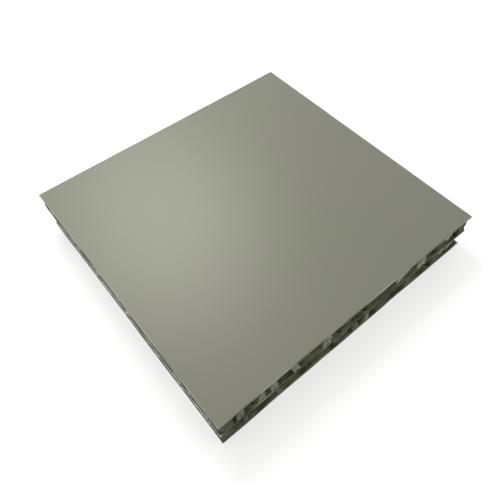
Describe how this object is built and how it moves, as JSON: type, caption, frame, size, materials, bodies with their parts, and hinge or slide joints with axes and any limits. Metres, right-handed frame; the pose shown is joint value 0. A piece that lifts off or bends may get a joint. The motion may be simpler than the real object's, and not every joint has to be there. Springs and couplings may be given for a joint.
{
  "type": "aluminium honeycomb panel",
  "caption": "Nearly square sandwich panel with a satin painted front sheet, a middle sheet and a back sheet, and a foil honeycomb core bonded between each, open at the sawn edges.",
  "frame": {"origin": "centre of the back sheet's outer face", "axes": "+Z through the panel towards the painted face, +Y along the foil ribbons, +X across them"},
  "size_m": [0.2, 0.203, 0.0294],
  "materials": {
    "painted_sheet": "satin metallic coil paint, champagne grey",
    "mill_sheet": "mill-finish rolled sheet",
    "foil": "olive-coated foil, bent, torn and rubbed bright at the sawn edges",
    "adhesive": "cured adhesive film, dull olive"
  },
  "bodies": {
    "root": {"front_sheet": "painted_sheet", "front_film": "adhesive", "upper_cell_row_01": "foil", "upper_cell_row_02": "foil", "upper_cell_row_03": "foil", "upper_cell_row_04": "foil", "upper_cell_row_05": "foil", "upper_cell_row_06": "foil", "upper_cell_row_07": "foil", "upper_cell_row_08": "foil", "upper_cell_row_09": "foil", "upper_cell_row_10": "foil", "upper_cell_row_11": "foil", "upper_cell_row_12": "foil", "upper_cell_row_13": "foil", "upper_cell_row_14": "foil", "upper_cell_row_15": "foil", "upper_cell_row_16": "foil", "middle_front_film": "adhesive", "middle_sheet": "mill_sheet", "middle_back_film": "adhesive", "lower_cell_row_01": "foil", "lower_cell_row_02": "foil", "lower_cell_row_03": "foil", "lower_cell_row_04": "foil", "lower_cell_row_05": "foil", "lower_cell_row_06": "foil", "lower_cell_row_07": "foil", "lower_cell_row_08": "foil", "lower_cell_row_09": "foil", "lower_cell_row_10": "foil", "lower_cell_row_11": "foil", "lower_cell_row_12": "foil", "lower_cell_row_13": "foil", "lower_cell_row_14": "foil", "lower_cell_row_15": "foil", "lower_cell_row_16": "foil", "back_film": "adhesive", "back_sheet": "mill_sheet"}
  },
  "joints": []
}
